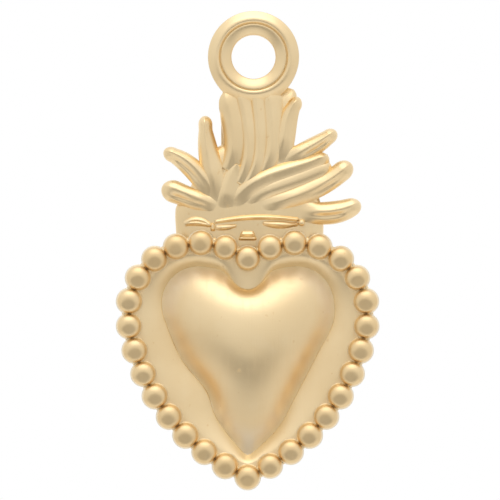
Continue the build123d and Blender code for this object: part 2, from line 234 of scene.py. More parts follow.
class CharmHeart(bpy.types.PropertyGroup):
    """Sizes of the heart: its rim, its dish and its dome"""

    rim_offset: length("Rim lobe offset", "From the axis to the centre of a lobe of the rim", 3.39)
    rim_radius: length("Rim lobe radius", "Radius of a lobe of the rim", 5.1)
    rim_cleft: length("Rim cleft radius", "Radius of the bend between the rim's lobes", 0.71)
    rim_drop: length("Rim drop", "From the lobes' centres down to the rim's tip", 11.53)
    rim_margin: length("Rim margin", "How far the frame reaches beyond the rim", 0.45)
    shelf: length("Shelf", "Width of the level shelf inside the rim", 0.72)
    dish_depth: length("Dish depth", "How far the dish falls from the shelf to the crease", 0.65)
    dome_radius: length("Dome lobe radius", "Radius of a lobe of the dome", 2.64)
    dome_cleft: length("Dome cleft radius", "Radius of the bend between the dome's lobes", 1.73)
    dome_rise: length("Dome rise", "From the lobes' centres of the rim up to those of the dome", 0.82)
    dome_drop: length("Dome drop", "From the dome's lobes down to its tip", 10.96)
    brim: length("Brim", "Width of the dome's hidden brim", 0.35)
    crown_drop: length("Crown drop", "From the lobes' centres down to the crown of the dome", 2.3)
    dome_height: length("Dome height", "From the crease to the crown of the dome", 2.15)
    fullness: power("Fullness", "How full the dome's flanks are", 1.1)
    notch: share("Notch fullness", "How much fuller the dome is next to its cleft", 0.4)
    notch_reach: length("Notch reach", "How far that fullness reaches from the cleft", 3.4)
    saddle: length("Saddle", "How far the dish comes up round the cleft", 2.2)
    pole: length("Skin pole", "From the bottom of the cleft up to the pole of the blown-up skin", 1.0)
    softness: share("Softness", "How much the dome's cleft and tip are rounded", 0.03)
    bead_spread: share("Bead spread", "How much the beads differ in size", 0.03)


class CharmCrest(bpy.types.PropertyGroup):
    """Sizes of the neck, the flames and the loop"""

    height: length("Crest height", "From the mouth up to the loop", 7.8)
    wall: length("Flame wall", "Height of a free flame's side over the plate", 0.36)
    rise: length("Flame rise", "Height of a free flame's arch over its side", 0.74)
    ground: length("Ground height", "Height of the ground under flames and ribbon over the plate", 0.9)
    strand: length("Strand rise", "Height of a flame over the ground", 0.32)
    fold: length("Fold rise", "Height of the ribbon's folds over the ground", 0.22)
    sunk: length("Sunk edge", "How far the edges of flames and folds lie under the ground", 0.02)
    sink: length("Loop sink", "How far the loop's outer roll sinks towards the flames", 0.45)
    bore: length("Bore radius", "Radius of the loop's bore", 1.57)
    groove: length("Loop groove radius", "Radius of the groove in the loop", 2.36)
    groove_depth: length("Loop groove depth", "Depth of the groove below the loop's outer roll", 0.32)
    roll: length("Roll fall", "How far the loop's outer roll falls towards its edge", 0.08)
    bevel: length("Bevel fall", "How far the loop's inner roll falls towards the bore", 0.2)
    bead: length("Inner roll", "Height of the loop's inner roll", 0.16)
    flare: length("Loop flare", "How far the loop's foot spreads on the flames", 0.35)


class CharmGold(bpy.types.PropertyGroup):
    """Colours and finish of the gold"""

    gold: colour("Gold", "Colour of the satin gold", (0.93, 0.735, 0.445))
    worn: colour("Worn gold", "Colour of the gold where it is rubbed", (0.95, 0.775, 0.5))
    # The deep gold is also mixed into the whole of the beads as painted shade
    deep: colour("Deep gold", "Colour of the gold in pits and on the back", (0.8, 0.58, 0.3))
    # Pale colour painted into the low places as painted light, lifting them against their warm shade
    frosted_painted_light: colour("Frosted gold", "Colour of the unpolished gold in the recesses", (0.98, 0.9, 0.73))
    roughness: share("Roughness", "Roughness of the satin finish", 0.4)


class CharmStage(bpy.types.PropertyGroup):
    """Floor colour and camera"""

    floor: colour("Floor", "Colour of the pale floor", (0.86, 0.86, 0.85))
    picture: length("Picture", "Height of the picture at the charm", 35.6)
    distance: length("Distance", "From the camera to the charm", 400.0)


@dataclass
class Heart:
    """A heart of tangent arcs: lobes at an offset from the axis, a cleft between them and two long
    sides. up is the level of the lobes' centres and drop the depth of the tip below it."""

    up: float
    offset: float
    radius: float
    cleft: float
    drop: float
    shoulder: float

    def side(self):
        """Centre and radius of the side arc that leaves the lobe at the shoulder and ends at the tip."""
        out = np.array([cos(self.shoulder), -sin(self.shoulder)])
        run = np.array([self.offset, self.drop]) + self.radius * out
        radius = run @ run / 2 / (run @ out)
        return self.offset + (self.radius - radius) * out[0], (self.radius - radius) * out[1], radius

    def grown(self, distance):
        """The same heart moved outwards by a distance all round."""
        side_x, side_up, side_radius = self.side()
        drop = np.sqrt((side_radius + distance) ** 2 - side_x**2) - side_up
        return replace(self, radius=self.radius + distance, cleft=self.cleft - distance, drop=drop)

    def outline(self, samples=320):
        """Evenly spaced points from the cleft down the right side to the tip and back up the left."""
        cleft_up = np.sqrt((self.radius + self.cleft) ** 2 - self.offset**2)
        turn = np.arctan2(cleft_up, self.offset)
        side_x, side_up, side_radius = self.side()
        tip = np.arcsin(-side_x / side_radius) - np.pi / 2
        arcs = (
            (0, cleft_up, self.cleft, -np.pi / 2, -turn),
            (self.offset, 0, self.radius, np.pi - turn, -self.shoulder),
            (side_x, side_up, side_radius, -self.shoulder, tip),
        )
        bends = []
        for x, up, radius, start, end in arcs:
            angle = np.linspace(start, end, samples)
            bends.append(np.stack([x + radius * np.cos(angle), up + radius * np.sin(angle)], axis=-1))
        half = np.concatenate(bends)
        steps = np.linalg.norm(np.diff(half, axis=0), axis=1)
        travel = np.concatenate([[0], np.cumsum(steps)])
        even = np.linspace(0, travel[-1], samples // 2 + 1)
        right = np.stack([np.interp(even, travel, part) for part in half.T], axis=-1)
        left = right[-2:0:-1] * (-1, 1)
        return np.concatenate([right, left]) + (HEART_AXIS, self.up)


@dataclass
class Tongue:
    """A flame or a fold, in millimetres from the mouth: a bent centre line, its headings and half widths.

    peak is where across the section its ridge stands, from -1 on the right of the heading to 1 on the left.
    ridge is the ridge's extra height and lift the whole flame's, in shares of the rise.
    grooves are (across, depth, start, end) with the depth as a share of the rise.
    free is whether the tip stands free of the ground.
    """

    root: tuple
    leaves: float
    tip: tuple
    arrives: float
    widths: tuple
    peak: float = 0.0
    ridge: float = 0.1
    lift: float = 1.0
    grooves: tuple = ()
    free: bool = True


# Rise of the outline next to the dome's cleft: distance from the axis, spread and height in millimetres
SHOULDERS = (1.5, 0.8, 0.36)
# Waists and bulges of the dome's flanks: side, place and spread as shares of the dome's drop, and how far
# outwards in millimetres
FLANKS = ((-1, 0.565, 0.13, -0.64), (1, 0.87, 0.18, 0.62), (1, 0.15, 0.12, 0.28))

# The flames, measured from the mouth, then those of the column, whose tips are measured from the foot of
# the loop
FLAMES = {
    "flame_sweep": Tongue((-1.6, 0.0), 68, (5.35, 3.95), 28, (0.5, 0.75, 0.62), 0.35, 0.1, 1.15),
    "flame_right_high": Tongue(
        (2.0, 3.4), 30, (5.88, 5.77), 40, (0.55, 0.7, 0.54), 0.25, 0.1, 1.0, ((-0.35, 0.14, 0.25, 0.9),)
    ),
    "flame_right_middle": Tongue(
        (0.2, 0.3), 14, (6.94, 3.49), 45, (0.45, 0.72, 0.72), 0.1, 0.1, 1.0, ((-0.4, 0.14, 0.45, 0.9),)
    ),
    "flame_right_inner": Tongue((-0.9, 0.45), 38, (5.5, 3.4), 30, (0.35, 0.7, 0.7), 0.0, 0.0, 0.85),
    "flame_right_low": Tongue(
        (3.1, 0.05), -8, (7.58, 0.7), 35, (0.55, 0.82, 0.68), 0.2, 0.1, 1.0, ((-0.25, 0.16, 0.1, 0.8),)
    ),
    "flame_left_tall": Tongue((-2.4, 0.3), 98, (-3.42, 6.85), 88, (0.5, 0.78, 0.5), 0.15, 0.1, 1.0),
    "flame_left_low": Tongue(
        (-2.4, 0.3), 163, (-6.52, 1.8), 158, (0.45, 0.72, 0.82), -0.3, 0.1, 1.0, ((0.35, 0.16, 0.1, 0.9),)
    ),
    "flame_left_middle": Tongue(
        (-2.7, 0.8), 120, (-6.41, 4.3), 165, (0.45, 0.74, 0.54), -0.3, 0.1, 1.0, ((0.35, 0.16, 0.15, 0.9),)
    ),
    "flame_trunk": Tongue((-1.9, 0.0), 92, (-1.1, 3.4), 68, (0.7, 0.78, 0.6), 0.3, 0.05, 0.6),
}
COLUMN_FLAMES = {
    "flame_middle_1": Tongue(
        (-1.82, 2.9), 62, (-1.95, 0.8), 112, (0.55, 0.85, 0.85), 0.3, 0.08, free=False
    ),
    "flame_middle_2": Tongue(
        (-1.03, 2.0), 57, (-0.85, 1.0), 104, (0.45, 0.66, 0.66), 0.3, 0.1, free=False
    ),
    "flame_middle_3": Tongue(
        (-0.53, 1.8), 52, (0.26, 1.1), 94, (0.45, 0.6, 0.62), 0.3, 0.08, 1.05, free=False
    ),
    "flame_middle_4": Tongue(
        (0.7, 2.8), 57, (1.25, 1.0), 93, (0.5, 0.74, 0.74), 0.2, 0.1, 0.95, free=False
    ),
    "flame_middle_5": Tongue((1.8, 3.3), 67, (3.31, 0.3), 45, (0.5, 0.7, 0.52), 0.2, 0.12),
}
# The folds of the ribbon on the neck
FOLDS = {
    "ribbon_bar": Tongue((-2.75, -0.72), 12, (3.25, -0.55), -7, (0.15, 0.2, 0.17), free=False),
    "ribbon_left_loop": Tongue(
        (-4.9, -0.87), 32, (-3.0, -0.98), -28, (0.17, 0.34, 0.22), 0.0, 0.0, 0.8,
        ((0.0, 0.5, 0.1, 0.9),), free=False
    ),
    "ribbon_knot": Tongue((-2.88, -1.36), 90, (-2.9, -0.76), 90, (0.17, 0.2, 0.18), free=False),
    "ribbon_tail": Tongue(
        (-2.65, -1.14), 5, (-1.21, -0.96), 15, (0.18, 0.22, 0.14), 0.0, 0.0, 0.7, free=False
    ),
    "ribbon_right_loop": Tongue(
        (0.68, -0.8), -8, (3.2, -0.86), 6, (0.15, 0.29, 0.17), 0.1, 0.2, 0.9, free=False
    ),
}
# How far the ground that the flames and the ribbon stand on reaches from the mouth: directions in degrees
# from +X and reaches in millimetres, first above the mouth and then round the neck below it
GROUND_WAYS = (
    (0, 13, 24, 37, 50, 59, 64.5, 67, 70, 90, 103)
    + (107, 109.5, 111, 112.5, 125, 137, 148, 157, 168, 176)
)
GROUND_REACHES = (
    (4.9, 4.55, 6.0, 6.7, 5.9, 5.5, 6.4, 7.9, 9.2, 9.2, 9.2)
    + (8.2, 7.2, 6.2, 5.3, 5.3, 5.3, 5.0, 4.8, 5.1, 5.55)
)
NECK_WAYS = (190, 200, 206, 214, 225, 270, 315, 326, 333, 345, 360)
NECK_REACHES = (5.62, 5.8, 6.0, 5.5, 4.4, 3.3, 4.4, 5.2, 5.5, 5.15, 4.95)


def placed(x, up, out):
    """Points of the row's frame from x, up and out."""
    return np.stack(np.broadcast_arrays(x, BACK - out, up), axis=-1)


def fade(start, end, value):
    """A smooth step from 0 at the start to 1 at the end."""
    rising = np.clip((value - start) / (end - start), 0, 1)
    return rising * rising * (3 - 2 * rising)


def closed(grid):
    """The grid with its first column again at its end."""
    return np.concatenate([grid, grid[:, :1]], axis=1)


def rounded(outline, softness):
    """The closed outline with its corners rounded: harmonic k fades by exp(-(k * softness) ** 2)."""
    harmonics = np.fft.fft(outline[:, 0] + 1j * outline[:, 1])
    number = np.fft.fftfreq(len(outline), 1 / len(outline))
    smooth = np.fft.ifft(harmonics * np.exp(-((number * softness) ** 2)))
    return np.stack([smooth.real, smooth.imag], axis=-1)


def make_piece(name, grids, material, nodes):
    """One smooth object from grids of points, welded where edges and poles meet, in place of CAD nodes."""
    mesh = bpy.data.meshes.new(name)
    points = []
    quads = []
    for grid in grids:
        rows, columns = grid.shape[:2]
        index = np.arange(rows * columns).reshape(rows, columns) + sum(len(part) for part in points)
        corners = (index[:-1, :-1], index[1:, :-1], index[1:, 1:], index[:-1, 1:])
        quads.append(np.stack(corners, axis=-1).reshape(-1, 4))
        points.append(grid.reshape(-1, 3))
    mesh.from_pydata(np.concatenate(points).tolist(), [], np.concatenate(quads).tolist())
    shape = bmesh.new()
    shape.from_mesh(mesh)
    bmesh.ops.remove_doubles(shape, verts=shape.verts, dist=WELD)
    bmesh.ops.recalc_face_normals(shape, faces=shape.faces)
    shape.to_mesh(mesh)
    shape.free()
    mesh.shade_smooth()
    mesh.materials.append(material)
    piece = bpy.data.objects.new(name, mesh)
    bpy.context.scene.collection.objects.link(piece)
    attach(piece, "root")
    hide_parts(*nodes)
    return piece


def dress(node, material):
    """A CAD node that is shown as it is, in a new material."""
    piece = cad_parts[node]
    piece.data.materials.clear()
    piece.data.materials.append(material)


def rim_heart(sizes):
    """The heart along which the beads stand."""
    up = FRAME_HIGH.z - sizes.rim_margin - sizes.rim_radius
    return Heart(up, sizes.rim_offset, sizes.rim_radius, sizes.rim_cleft, sizes.rim_drop, RIM_SHOULDER)


def dome_heart(sizes):
    """The heart of the dome's foot, before its waists and bulges."""
    rim = rim_heart(sizes)
    offset = (DOME_HIGH.x - DOME_LOW.x) / 2 - sizes.brim - sizes.dome_radius
    up = rim.up + sizes.dome_rise
    return Heart(up, offset, sizes.dome_radius, sizes.dome_cleft, sizes.dome_drop, DOME_SHOULDER)


def waisted(outline, heart):
    """The outline pushed in or out on its flanks by bell curves, and raised on both sides of the cleft."""
    x, up = outline.T
    reach, spread, rise = np.array(SHOULDERS) * MM
    beside = np.exp(-(((np.abs(x - HEART_AXIS) - reach) / spread) ** 2))
    up = up + rise * beside * (up > heart.up)
    aside = np.sin(np.pi / 2 * np.clip((x - HEART_AXIS) / heart.offset, -1, 1))
    for side, place, spread, amount in FLANKS:
        near = np.exp(-(((heart.up - up - place * heart.drop) / (spread * heart.drop)) ** 2))
        x = x + amount * MM * near * aside * (aside * side > 0)
    return np.stack([x, up], axis=-1)


def blown_skin(outline, pole, degree=24, poles=8, pole_size=0.1):
    """The height of a skin blown up over an outline, as a function of place: minus a quarter of the
    distance squared, plus the harmonic function that brings it to 0 along the outline. The harmonic
    function is a sum of powers of the place, of inverse powers about a pole in the cleft and of the
    logarithm of the distance from that pole, fitted by least squares."""
    middle = outline.mean(axis=0)
    size = np.abs(outline - middle).max()

    def terms(place):
        """The parts of the sum at each place, and a quarter of the distance squared."""
        spot = ((place - middle) / size) @ np.array([1, 1j])
        away = size / ((place - pole) @ np.array([1, 1j])) * pole_size
        powers = [spot**k for k in range(degree + 1)] + [away**k for k in range(1, poles + 1)]
        both = [part for term in powers for part in (term.real, term.imag)]
        return np.stack([*both, np.log(np.abs(away))], axis=-1), np.abs(spot) ** 2 / 4

    columns, bowl = terms(outline)
    weights = np.linalg.lstsq(columns, bowl, rcond=None)[0]

    def height(place):
        """The skin's height, not below 0."""
        columns, bowl = terms(place)
        return np.maximum(columns @ weights - bowl, 0)

    return height


def dome_foot(sizes):
    """The outline of the dome's foot, from the cleft round to the cleft."""
    foot = dome_heart(sizes)
    return rounded(waisted(foot.outline(), foot), sizes.softness)


def crease_height(place, cleft, sizes):
    """Height of the dish where it meets the dome. Round the cleft it comes up to the shelf as a bell
    curve."""
    near = np.exp(-(((place - cleft) / sizes.saddle) ** 2).sum(axis=-1))
    return FRAME_TOP - sizes.dish_depth * (1 - near)


def dome_grid(sizes, levels=72):
    """Copies of the foot's outline drawn in towards the crown. Each point is raised from the crease
    towards the crown by the height h of a skin blown up over the foot, made fuller as
    1 - (1 - h) ** fullness, most of all next to the cleft. The first row goes down to the plate."""
    base = dome_foot(sizes)
    crown = np.array([HEART_AXIS, dome_heart(sizes).up - sizes.crown_drop])
    drawn = np.cos(np.linspace(0, np.pi / 2, levels))[:, None, None]
    place = crown + (base - crown) * drawn
    rise = blown_skin(base, base[0] + (0, sizes.pole))(place)
    rise[0] = 0
    crease = crease_height(place, base[0], sizes)
    crown_height = FRAME_TOP - sizes.dish_depth + sizes.dome_height
    near = np.exp(-(((place - base[0]) / sizes.notch_reach) ** 2).sum(axis=-1))
    fullness = sizes.fullness + sizes.notch * near
    out = crease + (crown_height - crease) * (1 - (1 - rise / rise.max()) ** fullness)
    place = np.concatenate([place[:1], place])
    out = np.concatenate([np.full_like(out[:1], PLATE_TOP), out])
    return closed(placed(place[..., 0], place[..., 1], out))


def frame_grid(sizes, edge_rows=6, dish_rows=24):
    """A ring of heart outlines: a rounded outer edge, a level shelf, then a dish that falls ever steeper,
    as a power of the way to the crease."""
    rim = rim_heart(sizes)
    rows = [(rim.grown(sizes.rim_margin).outline(), PLATE_TOP)]
    for angle in np.linspace(0, np.pi / 2, edge_rows):
        outline = rim.grown(sizes.rim_margin - EDGE * (1 - cos(angle))).outline()
        rows.append((outline, FRAME_TOP - EDGE * (1 - sin(angle))))
    outer = rounded(rim.grown(-sizes.shelf).outline(), sizes.softness)
    inner = dome_foot(sizes)
    crease = crease_height(inner, inner[0], sizes)
    for way in np.linspace(0, 1, dish_rows):
        out = FRAME_TOP - (FRAME_TOP - crease) * way**DISH_POWER
        rows.append((outer + (inner - outer) * way, out))
    rows.append((inner, PLATE_TOP))
    rows.append(rows[0])
    return closed(np.stack([placed(outline[:, 0], outline[:, 1], out) for outline, out in rows]))


def bead_grid(low, high, size, squash, lean, ball_rows=20, foot_rows=10, columns=37):
    """A flattened ball turned about its own axis, with a wide foot that runs out on the shelf as a quarter
    circle does and a worn facet on top: the soft minimum -log(exp(-a) + exp(-b)) of the ball's height and
    that of a leaning plane, both measured in the blend's length. The last row closes the underside."""
    centre = (low + high) / 2
    radius = (high.x - low.x) / 2 * size
    foot = BACK - high.y
    top = BACK - low.y
    middle = top - radius * squash
    latitude = np.linspace(np.pi / 2, BEAD_WAIST, ball_rows)
    flare = np.linspace(0, np.pi / 2, foot_rows)[1:]
    ring = radius * np.concatenate([np.cos(latitude), 1.0 + BEAD_FOOT * (1 - np.cos(flare))])
    ball = middle + radius * squash * np.sin(latitude)
    out = np.concatenate([ball, ball[-1] + (foot - ball[-1]) * np.sin(flare)])
    angle = np.linspace(0, 2 * np.pi, columns)
    aside = np.append(ring, 0.0)[:, None] * np.cos(angle)
    along = np.append(ring, 0.0)[:, None] * np.sin(angle)
    out = np.append(out, foot)[:, None] + 0 * aside
    facet = top - BEAD_WEAR * radius + lean[0] * aside + lean[1] * along
    blend = BEAD_BLEND * radius
    out = -blend * np.logaddexp(-out / blend, -facet / blend)
    return placed(centre.x + aside, centre.z + along, out)


def ground_way(x, up, mouth):
    """How far points are on their way from the mouth to the ground's edge, with 1 at the edge."""
    direction = np.degrees(np.arctan2(up - mouth, x)) % 360
    ways = GROUND_WAYS + NECK_WAYS
    reaches = GROUND_REACHES + NECK_REACHES
    near = [np.interp(direction + turn, ways, reaches, period=360) for turn in GROUND_TURNS]
    return np.hypot(x, up - mouth) / (np.mean(near, axis=0) * MM)


def ground_height(way, height):
    """The ground's height over the plate: a little lower outwards."""
    return height * (1 - GROUND_FALL * np.minimum(way, 1) ** 2)


def tongue_line(tongue, tip_datum, mouth, rows=72):
    """Shares along a flame, its cubic centre line, its sideways directions, its half widths and how these
    close at the tip. The half width is the parabola through the root's, the belly's and the end's, and the
    tip closes as a quarter ellipse."""
    root = np.array(tongue.root) * MM + (0, mouth)
    tip = np.array(tongue.tip) * MM + (0, tip_datum)
    reach = np.linalg.norm(tip - root) * HANDLE
    away = root + reach * np.array([cos(radians(tongue.leaves)), sin(radians(tongue.leaves))])
    onto = tip - reach * np.array([cos(radians(tongue.arrives)), sin(radians(tongue.arrives))])
    along = np.sin(np.linspace(0, np.pi / 2, rows))[:, None]
    rest = 1 - along
    line = rest**3 * root + 3 * rest**2 * along * away + 3 * rest * along**2 * onto + along**3 * tip
    ahead = 3 * (rest**2 * (away - root) + 2 * rest * along * (onto - away) + along**2 * (tip - onto))
    ahead /= np.linalg.norm(ahead, axis=1, keepdims=True)
    aside = np.stack([-ahead[:, 1], ahead[:, 0]], axis=-1)
    start, belly, end = np.array(tongue.widths) * MM
    bend = np.polyfit((0, 0.5, END_PLACE), (start, belly, end), 2)
    width = np.polyval(bend, np.minimum(along, END_PLACE))
    turn = 1 - TIP_LENGTH * end / np.linalg.norm(tip - root)
    tip_share = np.sqrt(1 - np.clip((along - turn) / (1 - turn), 0, 1) ** 2)
    return along, line, aside, width, tip_share


def tongue_grid(tongue, tip_datum, mouth, sizes, rise, number, columns=41):
    """Sections square to a flame's centre line. On the ground a section is a low parabola, and beyond it
    two walls and an elliptic arch, both with their peak to one side, raised by a narrow ridge and cut by
    grooves with the form of a bell curve. By its number each reaches a little deeper into the plate than
    the last, so that no two flames have their feet in one plane, and no two folds."""
    along, line, aside, width, tip_share = tongue_line(tongue, tip_datum, mouth)
    across = -np.cos(np.linspace(0, np.pi, columns))[None, :]
    side = width * tip_share * across
    x = line[:, :1] + aside[:, :1] * side
    up = line[:, 1:] + aside[:, 1:] * side

    slope = (across - tongue.peak) / np.where(across > tongue.peak, 1 - tongue.peak, 1 + tongue.peak)
    ridge = tongue.ridge * np.exp(-((slope / RIDGE_WIDTH) ** 2))
    grooves = 0
    for place, depth, first, last in tongue.grooves:
        window = fade(first, first + GROOVE_FADE, along) * (1 - fade(last - GROOVE_FADE, last, along))
        grooves = grooves + depth * window * np.exp(-(((across - place) / GROOVE_WIDTH) ** 2))
    low = np.clip(1 - slope**2, 0, 1)
    ground = ground_height(ground_way(x, up, mouth), sizes.ground) - sizes.sunk
    if tongue.free:
        free = fade(*LEAVES_GROUND, ground_way(line[:, :1], line[:, 1:], mouth))
        strand = ground + rise * tongue.lift * (low + ridge - grooves) * fade(*FREE_RISE, along)
        finger = sizes.wall + sizes.rise * tongue.lift * (np.sqrt(low) + ridge - grooves) * tip_share
        height = (1 - free) * strand + free * finger
    else:
        strand = rise * tongue.lift * (low + ridge - grooves) * fade(*BOUND_RISE, along)
        height = ground + strand * tip_share
    upper = placed(x, up, PLATE_TOP + height)
    laps = 2 + number / 2
    foot = np.full_like(x[:, :1], PLATE_TOP - laps * LAP)
    left = placed(x[:, :1], up[:, :1], foot)
    right = placed(x[:, -1:], up[:, -1:], foot)
    grid = closed(np.concatenate([left, upper, right], axis=1))
    cap = np.tile(grid[:1].mean(axis=1, keepdims=True), (1, grid.shape[1], 1))
    return np.concatenate([cap, grid])


def ground_grid(mouth, height, rows=48, columns=541):
    """A disc about the mouth whose reach goes smoothly from direction to direction, rounded at its edge,
    with a flat underside in the plate."""
    direction = np.radians(np.linspace(0, 360, columns))[None, :]
    edge = MM / ground_way(MM * np.cos(direction), mouth + MM * np.sin(direction), mouth)
    way = np.sin(np.linspace(0, np.pi / 2, rows))[:, None]
    x = way * edge * np.cos(direction)
    up = mouth + way * edge * np.sin(direction)
    over = ground_height(way, height) * np.sqrt(np.clip(1 - way**GROUND_EDGE, 0, 1)) + 0 * x
    top = placed(x, up, PLATE_TOP + over)
    foot = PLATE_TOP - LAP + 0 * x[:1]
    edge = placed(x[-1:], up[-1:], foot)
    middle = placed(0 * x[:1], mouth + 0 * x[:1], foot)
    return np.concatenate([top, edge, middle])


def tab_grids(low, high, rows=49, columns=33):
    """A small tab, wider at its foot, with a stepped front: a top, a facet that faces down and a low
    moulding. Front and flat underside meet along their edges."""
    across = -np.cos(np.linspace(0, np.pi, columns))[None, :]
    down = np.linspace(0, 1, rows)[:, None]
    half = (high.x - low.x) / 2 * (TAB_TOP + TAB_GAIN * down)
    x = (low.x + high.x) / 2 + half * across
    up = high.z + (low.z - high.z) * down + 0 * x
    front = np.interp(down, TAB_PLACES, TAB_HEIGHTS) * np.sqrt(np.clip(1 - across**TAB_EDGE, 0, 1))
    base = NECK_TOP - TAB_ROOT
    return [placed(x, up, base + (BACK - low.y - base) * front), placed(x, up, base + 0 * x)]


def loop_grid(sizes, rows=28, columns=145):
    """A ring turned about the bore. Its front is a broad outer roll that stands highest next to the groove
    and an inner roll that falls towards the bore: sines of a power of the way across. The outer roll sinks
    and spreads on the flames by a bell curve round the lowest point. The rows go from the bore's back edge
    outwards, over the front and back into the bore."""
    radius = (LOOP_HIGH.x - LOOP_LOW.x) / 2
    thick = BACK - LOOP_LOW.y
    way = np.linspace(0, 1, rows)
    outer_ring = radius + (sizes.groove - radius) * way
    outer_roll = np.sin(np.pi * way**OUTER_SKEW) ** BLUNTNESS
    outer = thick - sizes.roll * (1 - way) - sizes.groove_depth * (1 - outer_roll)
    inner_ring = sizes.groove + (sizes.bore - sizes.groove) * way
    inner_roll = np.sin(np.pi * way**INNER_SKEW) ** BLUNTNESS
    inner = thick - sizes.groove_depth - sizes.bevel * way + sizes.bead * inner_roll
    round_in = EDGE * np.array(LOOP_EDGE)
    round_out = round_in[::-1]
    ring = np.concatenate([sizes.bore + round_out, radius - round_in, [radius], outer_ring, inner_ring[1:]])
    out = np.concatenate([round_in, round_out, [LOOP_WALL * outer[0]], outer, inner[1:]])
    ring = np.concatenate([ring, [sizes.bore, sizes.bore]])[:, None]
    out = np.concatenate([out, [inner[-1] - EDGE, EDGE]])[:, None]
    angle = np.linspace(0, 2 * np.pi, columns)
    foot = np.exp(-(((angle - 1.5 * np.pi) / LOOP_FOOT) ** 2))[None, :]
    lean = fade(sizes.groove, radius, ring) * fade(0, thick, out) * foot
    out = out - sizes.sink * lean
    ring = ring + sizes.flare * lean
    return placed(ring * np.cos(angle), LOOP_HIGH.z - radius + ring * np.sin(angle), out)


class Wire:
    """A socket in a node tree. Arithmetic on it adds Math nodes, and node() adds any other node."""

    def __init__(self, tree, socket=None):
        self.tree = tree
        self.socket = socket

    def node(self, kind, settings=None, inputs=None, output=0):
        """Adds a node with its settings, then its inputs as values or wires, and returns one output."""
        node = self.tree.nodes.new(kind)
        for name, value in (settings or {}).items():
            if name == "stops":
                ramp = node.color_ramp.elements
                while len(ramp) < len(value):
                    ramp.new(0.5)
                for element, (place, shade) in zip(ramp, value):
                    element.position = place
                    element.color = (*shade, 1.0)
            else:
                setattr(node, name, value)
        for name, value in (inputs or {}).items():
            if isinstance(value, Wire):
                self.tree.links.new(value.socket, node.inputs[name])
            else:
                node.inputs[name].default_value = value
        return Wire(self.tree, node.outputs[output] if len(node.outputs) else None)

    def math(self, operation, first, second):
        """Adds a Math node on two values or wires."""
        return self.node("ShaderNodeMath", {"operation": operation}, {0: first, 1: second})

    def __add__(self, other):
        return self.math("ADD", self, other)

    def __sub__(self, other):
        return self.math("SUBTRACT", self, other)

    def __rsub__(self, other):
        return self.math("SUBTRACT", other, self)

    def __mul__(self, other):
        return self.math("MULTIPLY", self, other)

    __radd__ = __add__
    __rmul__ = __mul__


def noise(wire, place, scale, detail=3.0, stretch=None, turn=(0.0, 0.0, 0.0)):
    """Noise at a scale in features per metre, drawn out along the axes where a stretch is given."""
    if stretch:
        place = wire.node("ShaderNodeMapping", None, {"Vector": place, "Rotation": turn, "Scale": stretch})
    return wire.node("ShaderNodeTexNoise", None, {"Vector": place, "Scale": scale, "Detail": detail})


def band(wire, value, start, end):
    """A smooth step of a value between two levels."""
    settings = {"interpolation_type": "SMOOTHSTEP"}
    return wire.node("ShaderNodeMapRange", settings, {"Value": value, "From Min": start, "From Max": end})


def blended(wire, factor, first, second):
    """A mix of two colours, each a wire or a colour."""
    settings = {"data_type": "RGBA"}
    first = first if isinstance(first, Wire) else (*first, 1.0)
    second = second if isinstance(second, Wire) else (*second, 1.0)
    return wire.node("ShaderNodeMix", settings, {0: factor, 6: first, 7: second}, output=2)


def gold(name, finish, shine=0.0, grain=1.0, scratches=1.0, tint=0.0, recess=(-1.0, -0.5)):
    """Satin gold: soft clouds in its colour and gloss, rubbed patches, fine grain, polishing scratches and
    pits. Fully below the first of two heights over the charm's back in millimetres and not at all above the
    second, it is rougher as frost and paler as painted light, which lifts the low places against their
    warm shade. A finish that exists already is used again."""
    existing = bpy.data.materials.get(name)
    if existing:
        return existing
    material = bpy.data.materials.new(name)
    material.use_nodes = True
    tree = material.node_tree
    tree.nodes.clear()
    wire = Wire(tree)
    place = wire.node("ShaderNodeTexCoord", None, None, output="Object")
    cloud = noise(wire, place, CLOUDS)
    rub = band(wire, noise(wire, place, RUBS, 4.0), *RUB_LEVELS)
    fine = noise(wire, place, GRAINS, 2.0)
    long_scratch = noise(wire, place, LONG_SCRATCHES, 2.0, LONG_STRETCH, LONG_TURN)
    cross_scratch = noise(wire, place, CROSS_SCRATCHES, 2.0, CROSS_STRETCH, CROSS_TURN)
    long_scratch = band(wire, long_scratch, *LONG_LEVELS)
    scratch = long_scratch + band(wire, cross_scratch, *CROSS_LEVELS) * CROSS_SHARE
    pit = band(wire, noise(wire, place, PITS, 1.0), *PIT_LEVELS)

    # tint draws the colour towards the deep gold: painted shade on the beads, a deeper gold on the back
    clouded = band(wire, cloud, *CLOUD_LEVELS) * CLOUD_TINT + tint
    base = blended(wire, clouded, tuple(finish.gold), tuple(finish.deep))
    base = blended(wire, rub * RUB_TINT, base, tuple(finish.worn))
    base = blended(wire, pit * PIT_TINT, base, tuple(finish.deep))
    height = BACK - wire.node("ShaderNodeSeparateXYZ", None, {0: place}, output="Y")
    # Painted light: the low places are painted paler against their warm shade, and made rougher as frost
    frost_and_painted_light = 1.0 - band(wire, height, recess[0] * MM, recess[1] * MM)
    base = blended(wire, frost_and_painted_light, base, tuple(finish.frosted_painted_light))
    rough = finish.roughness - shine + (cloud - 0.5) * CLOUD_ROUGHNESS
    rough = rough + scratch * (SCRATCH_ROUGHNESS * scratches) - rub * RUB_ROUGHNESS
    rough = rough + pit * PIT_ROUGHNESS + frost_and_painted_light * FROST_ROUGHNESS
    relief = fine * (GRAIN_RELIEF * grain) - scratch * (SCRATCH_RELIEF * scratches) - pit * PIT_RELIEF
    inputs = {"Strength": BUMP_STRENGTH, "Distance": BUMP_DEPTH, "Height": relief}
    bump = wire.node("ShaderNodeBump", None, inputs)
    inputs = {"Base Color": base, "Metallic": 1.0, "Roughness": rough, "Normal": bump}
    shader = wire.node("ShaderNodeBsdfPrincipled", None, inputs)
    wire.node("ShaderNodeOutputMaterial", None, {"Surface": shader})
    return material


class CharmOperator:
    """What the charm's operators share."""

    bl_options = {"REGISTER", "UNDO"}


